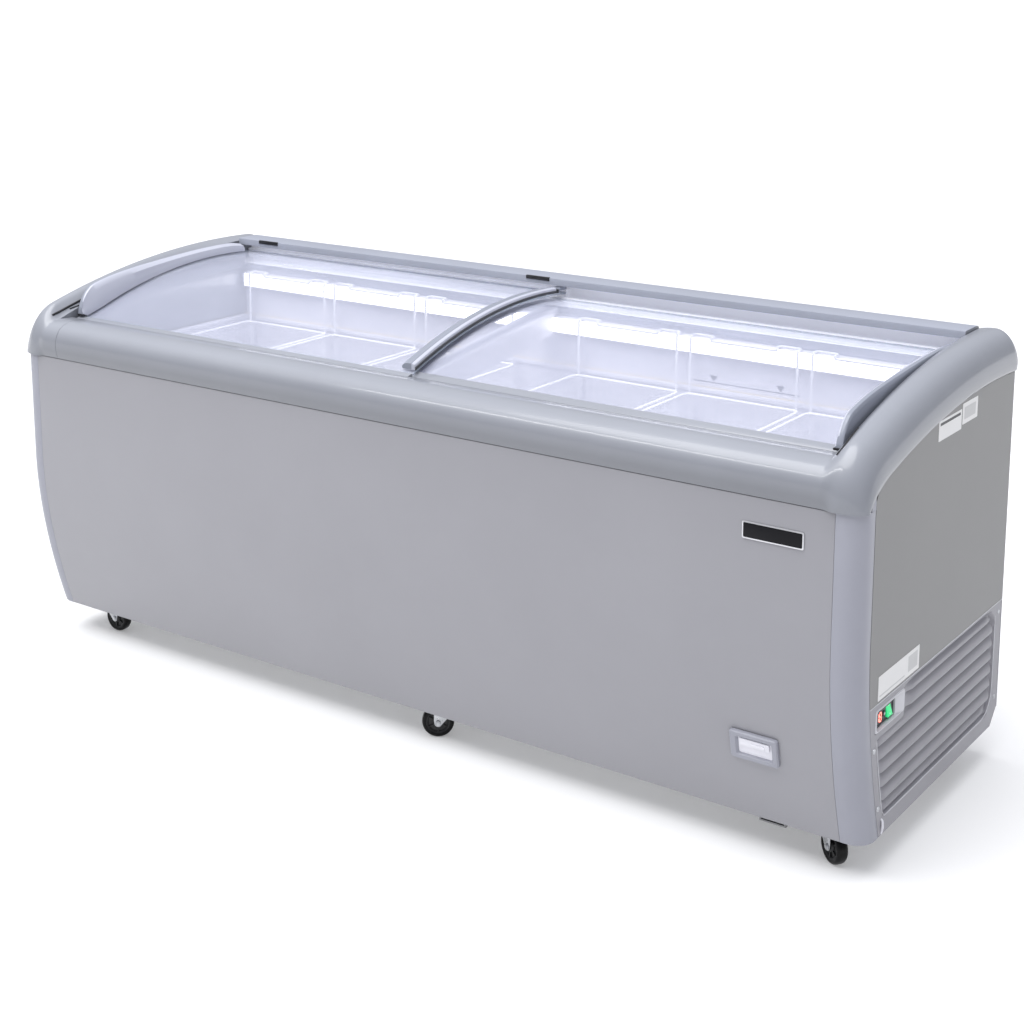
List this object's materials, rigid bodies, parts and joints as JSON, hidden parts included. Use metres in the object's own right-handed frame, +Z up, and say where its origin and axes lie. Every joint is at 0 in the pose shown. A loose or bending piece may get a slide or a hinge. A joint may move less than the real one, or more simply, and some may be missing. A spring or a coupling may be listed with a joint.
{
  "type": "display chest freezer",
  "caption": "Long display chest freezer with curved sliding glass lids, lit interior, hanging wire baskets, side control grille and swivel casters.",
  "frame": {"origin": "on the floor under the middle of the freezer's bounding box", "axes": "+X along the length towards the machine compartment, +Y from the front panel to the back panel, +Z up"},
  "size_m": [2, 0.685, 0.8454],
  "materials": {
    "panel_paint": "satin",
    "post_plastic": "satin",
    "collar_plastic": "satin",
    "liner_plastic": "satin",
    "foam": "matte",
    "lid_glass": "gloss",
    "lid_plastic": "satin",
    "coated_wire": "satin",
    "grille_plastic": "satin",
    "black_plastic": "satin",
    "satin_metal": "satin",
    "zinc_steel": "satin",
    "dark_steel": "satin",
    "wheel_rubber": "satin",
    "led_lens": "satin",
    "switch_green": "gloss",
    "compressor_steel": "satin",
    "condenser_fins": "satin"
  },
  "bodies": {
    "cabinet": {"back_panel": "panel_paint", "badge_plate": "satin_metal", "base_pan": "zinc_steel", "center_beam": "liner_plastic", "collar_front_rail": "collar_plastic", "collar_left_end": "collar_plastic", "collar_rear_rail": "collar_plastic", "collar_right_end": "collar_plastic", "compressor": "compressor_steel", "condenser": "condenser_fins", "control_bezel": "black_plastic", "cord_gland": "black_plastic", "drain_bezel": "post_plastic", "fan_motor_and_shroud": "black_plastic", "foam_insulation": "foam", "front_left_post": "post_plastic", "front_panel": "panel_paint", "front_right_post": "post_plastic", "inner_liner": "liner_plastic", "led_diffuser": "led_lens", "led_housing": "collar_plastic", "left_side_panel": "panel_paint", "rear_upstand": "liner_plastic", "right_side_panel": "panel_paint", "side_grille": "grille_plastic", "temperature_display": "black_plastic", "underframe_channel": "dark_steel"},
    "left_lid": {"left_lid_glass": "lid_glass", "left_lid_grip_bar": "lid_plastic", "left_lid_middle_bar": "lid_plastic", "left_lid_front_runner": "lid_plastic", "left_lid_rear_runner": "lid_plastic"},
    "right_lid": {"right_lid_glass": "lid_glass", "right_lid_grip_bar": "lid_plastic", "right_lid_middle_bar": "lid_plastic", "right_lid_front_runner": "lid_plastic", "right_lid_rear_runner": "lid_plastic"},
    "left_basket_1_body": {"left_basket_1": "coated_wire"},
    "left_basket_2_body": {"left_basket_2": "coated_wire"},
    "left_basket_3_body": {"left_basket_3": "coated_wire"},
    "right_basket_1_body": {"right_basket_1": "coated_wire"},
    "right_basket_2_body": {"right_basket_2": "coated_wire"},
    "right_basket_3_body": {"right_basket_3": "coated_wire"},
    "front_left_caster_swivel": {"front_left_caster_fork": "zinc_steel"},
    "front_left_caster_roller": {"front_left_caster_wheel": "wheel_rubber"},
    "front_middle_caster_swivel": {"front_middle_caster_fork": "zinc_steel"},
    "front_middle_caster_roller": {"front_middle_caster_wheel": "wheel_rubber"},
    "front_right_caster_swivel": {"front_right_caster_fork": "zinc_steel"},
    "front_right_caster_roller": {"front_right_caster_wheel": "wheel_rubber"},
    "rear_left_caster_swivel": {"rear_left_caster_fork": "zinc_steel"},
    "rear_left_caster_roller": {"rear_left_caster_wheel": "wheel_rubber"},
    "rear_middle_caster_swivel": {"rear_middle_caster_fork": "zinc_steel"},
    "rear_middle_caster_roller": {"rear_middle_caster_wheel": "wheel_rubber"},
    "rear_right_caster_swivel": {"rear_right_caster_fork": "zinc_steel"},
    "rear_right_caster_roller": {"rear_right_caster_wheel": "wheel_rubber"},
    "fan": {"fan_blade": "black_plastic"},
    "rocker": {"rocker_switch": "switch_green"},
    "set_key": {"set_button": "black_plastic"},
    "drain_stopper": {"drain_plug": "liner_plastic"}
  },
  "joints": [
    {"name": "left_lid_slide", "type": "slide", "parent": "cabinet", "child": "left_lid", "axis": [1, 0, 0], "range_m": [0, 0.85]},
    {"name": "right_lid_slide", "type": "slide", "parent": "cabinet", "child": "right_lid", "axis": [1, 0, 0], "range_m": [-0.85, 0]},
    {"name": "left_basket_1_lift", "type": "slide", "parent": "cabinet", "child": "left_basket_1_body", "axis": [0, 0, 1], "range_m": [0, 0.018]},
    {"name": "left_basket_2_lift", "type": "slide", "parent": "cabinet", "child": "left_basket_2_body", "axis": [0, 0, 1], "range_m": [0, 0.018]},
    {"name": "left_basket_3_lift", "type": "slide", "parent": "cabinet", "child": "left_basket_3_body", "axis": [0, 0, 1], "range_m": [0, 0.018]},
    {"name": "right_basket_1_lift", "type": "slide", "parent": "cabinet", "child": "right_basket_1_body", "axis": [0, 0, 1], "range_m": [0, 0.018]},
    {"name": "right_basket_2_lift", "type": "slide", "parent": "cabinet", "child": "right_basket_2_body", "axis": [0, 0, 1], "range_m": [0, 0.018]},
    {"name": "right_basket_3_lift", "type": "slide", "parent": "cabinet", "child": "right_basket_3_body", "axis": [0, 0, 1], "range_m": [0, 0.018]},
    {"name": "front_left_caster_swivel", "type": "hinge", "parent": "cabinet", "child": "front_left_caster_swivel", "pos_m": [-0.9, -0.2015, 0.0822], "axis": [0, 0, 1], "continuous": true},
    {"name": "front_left_caster_roll", "type": "hinge", "parent": "front_left_caster_swivel", "child": "front_left_caster_roller", "pos_m": [-0.875, -0.2015, 0.032], "axis": [0, 1, 0], "continuous": true},
    {"name": "front_middle_caster_swivel", "type": "hinge", "parent": "cabinet", "child": "front_middle_caster_swivel", "pos_m": [0.08, -0.2015, 0.0822], "axis": [0, 0, 1], "continuous": true},
    {"name": "front_middle_caster_roll", "type": "hinge", "parent": "front_middle_caster_swivel", "child": "front_middle_caster_roller", "pos_m": [0.05952, -0.21584, 0.032], "axis": [0.5736, -0.8192, 0], "continuous": true},
    {"name": "front_right_caster_swivel", "type": "hinge", "parent": "cabinet", "child": "front_right_caster_swivel", "pos_m": [0.894, -0.2015, 0.0822], "axis": [0, 0, 1], "continuous": true},
    {"name": "front_right_caster_roll", "type": "hinge", "parent": "front_right_caster_swivel", "child": "front_right_caster_roller", "pos_m": [0.91422, -0.21619, 0.032], "axis": [0.5878, 0.809, 0], "continuous": true},
    {"name": "rear_left_caster_swivel", "type": "hinge", "parent": "cabinet", "child": "rear_left_caster_swivel", "pos_m": [-0.9, 0.2015, 0.0822], "axis": [0, 0, 1], "continuous": true},
    {"name": "rear_left_caster_roll", "type": "hinge", "parent": "rear_left_caster_swivel", "child": "rear_left_caster_roller", "pos_m": [-0.875, 0.2015, 0.032], "axis": [0, 1, 0], "continuous": true},
    {"name": "rear_middle_caster_swivel", "type": "hinge", "parent": "cabinet", "child": "rear_middle_caster_swivel", "pos_m": [0.08, 0.2015, 0.0822], "axis": [0, 0, 1], "continuous": true},
    {"name": "rear_middle_caster_roll", "type": "hinge", "parent": "rear_middle_caster_swivel", "child": "rear_middle_caster_roller", "pos_m": [0.05952, 0.21584, 0.032], "axis": [-0.5736, -0.8192, 0], "continuous": true},
    {"name": "rear_right_caster_swivel", "type": "hinge", "parent": "cabinet", "child": "rear_right_caster_swivel", "pos_m": [0.894, 0.2015, 0.0822], "axis": [0, 0, 1], "continuous": true},
    {"name": "rear_right_caster_roll", "type": "hinge", "parent": "rear_right_caster_swivel", "child": "rear_right_caster_roller", "pos_m": [0.91422, 0.21619, 0.032], "axis": [-0.5878, 0.809, 0], "continuous": true},
    {"name": "fan_spin", "type": "hinge", "parent": "cabinet", "child": "fan", "pos_m": [0.899, 0.06, 0.205], "axis": [1, 0, 0], "continuous": true},
    {"name": "rocker_tilt", "type": "hinge", "parent": "cabinet", "child": "rocker", "pos_m": [0.985, -0.1865, 0.289], "axis": [0, 1, 0], "range_deg": [0, 20]},
    {"name": "set_button_press", "type": "slide", "parent": "cabinet", "child": "set_key", "axis": [-1, 0, 0], "range_m": [0, 0.0015], "stiffness_N_per_m": 300},
    {"name": "drain_plug_pull", "type": "slide", "parent": "cabinet", "child": "drain_stopper", "axis": [0, -0.9775, -0.2111], "range_m": [0, 0.03]}
  ]
}
